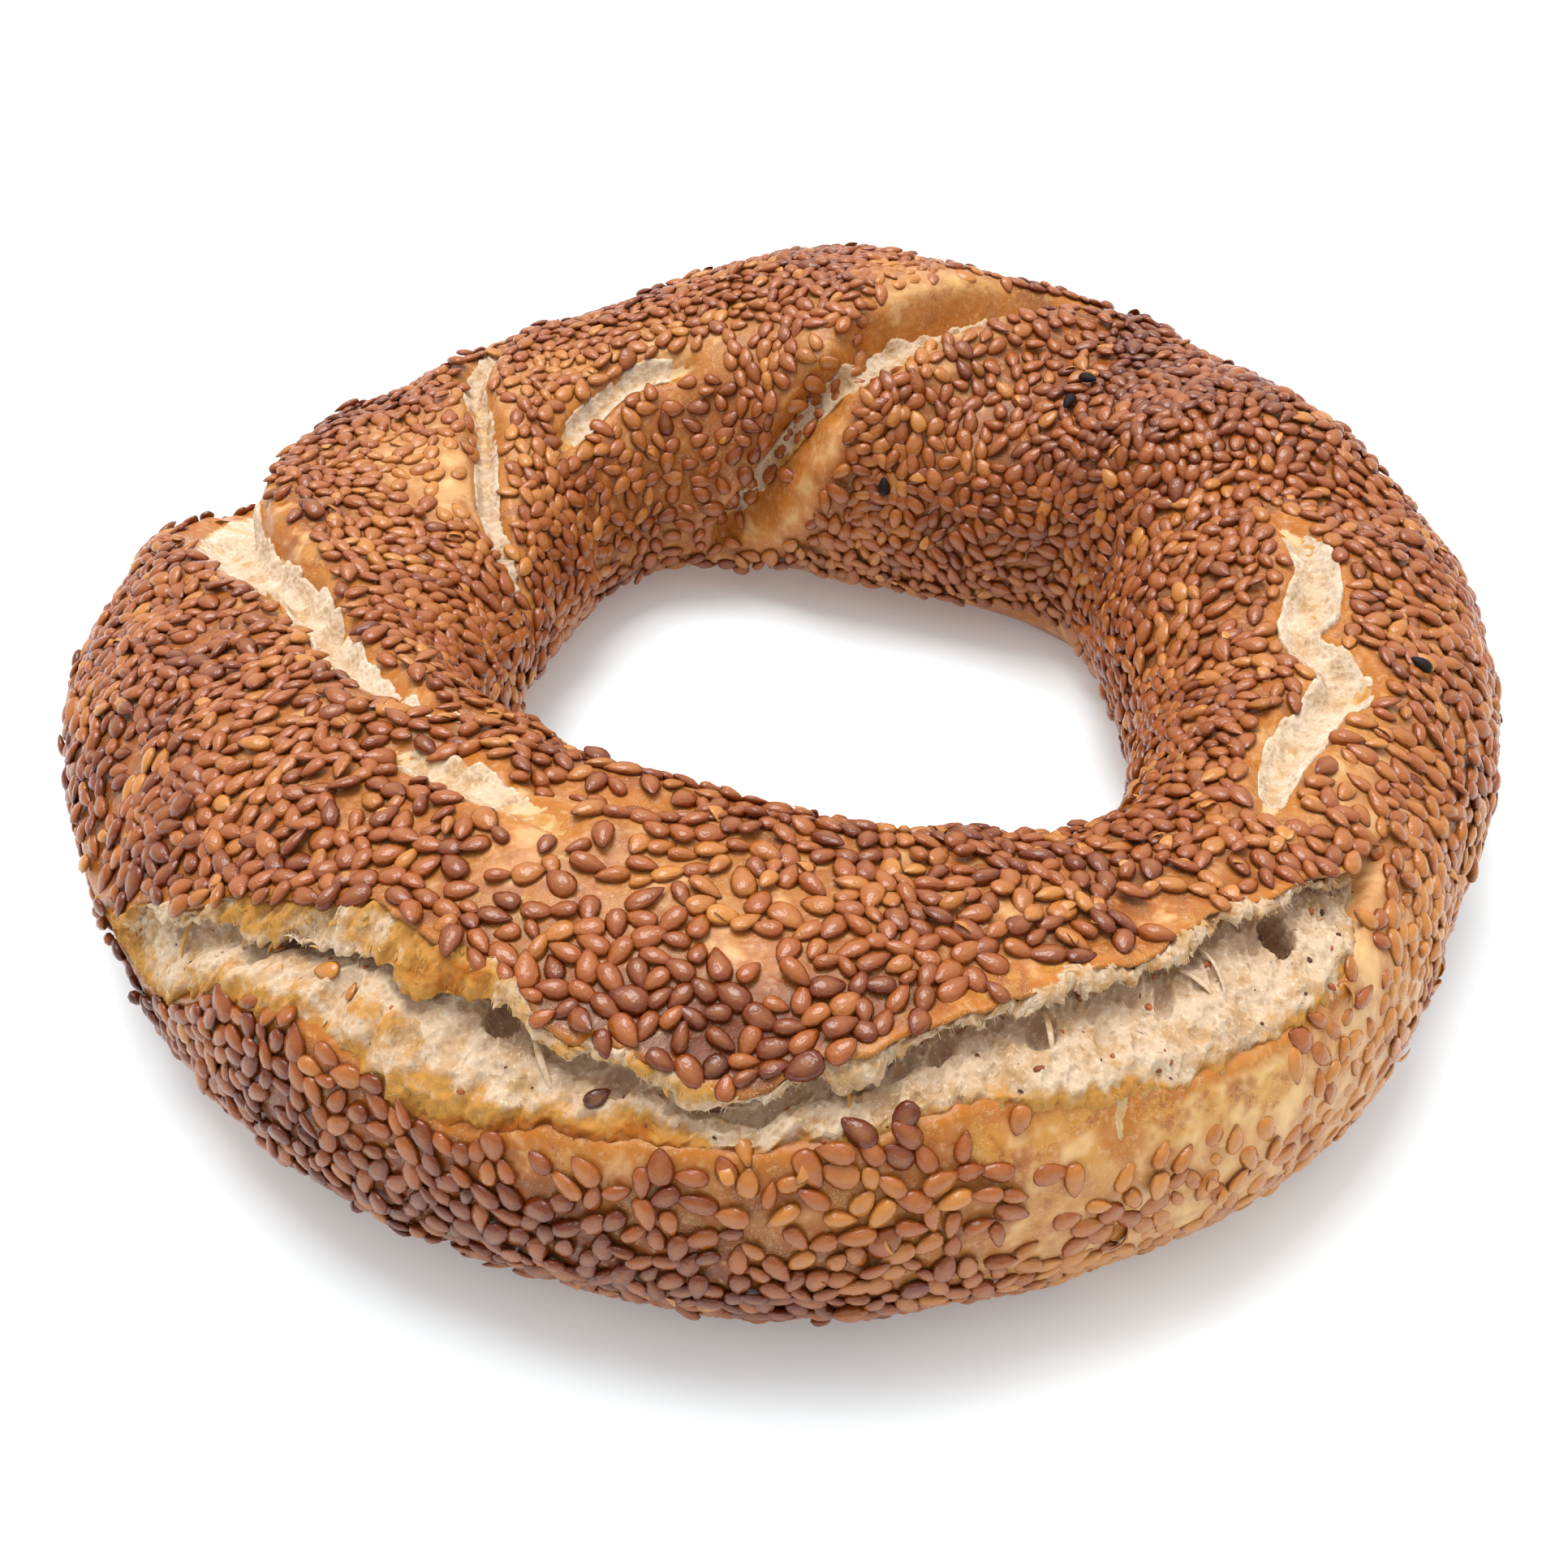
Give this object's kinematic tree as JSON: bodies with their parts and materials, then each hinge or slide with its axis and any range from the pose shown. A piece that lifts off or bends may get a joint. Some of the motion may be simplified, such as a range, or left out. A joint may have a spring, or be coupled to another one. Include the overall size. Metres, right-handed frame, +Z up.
{
  "type": "simit",
  "caption": "Ring of twisted sesame bread, torn open along its front, eaten whole or broken up; it rests on its flat baked base.",
  "frame": {"origin": "centre of the bounding box in plan, on the flat base that stood on the baking tray", "axes": "+Z up through the ring, +Y to the back, away from the long tear, +X to the right when facing the tear"},
  "size_m": [0.1674, 0.1774, 0.0425],
  "materials": {
    "crust": "matt baked crust"
  },
  "bodies": {
    "root": {"simit_ring": "crust"}
  },
  "joints": []
}
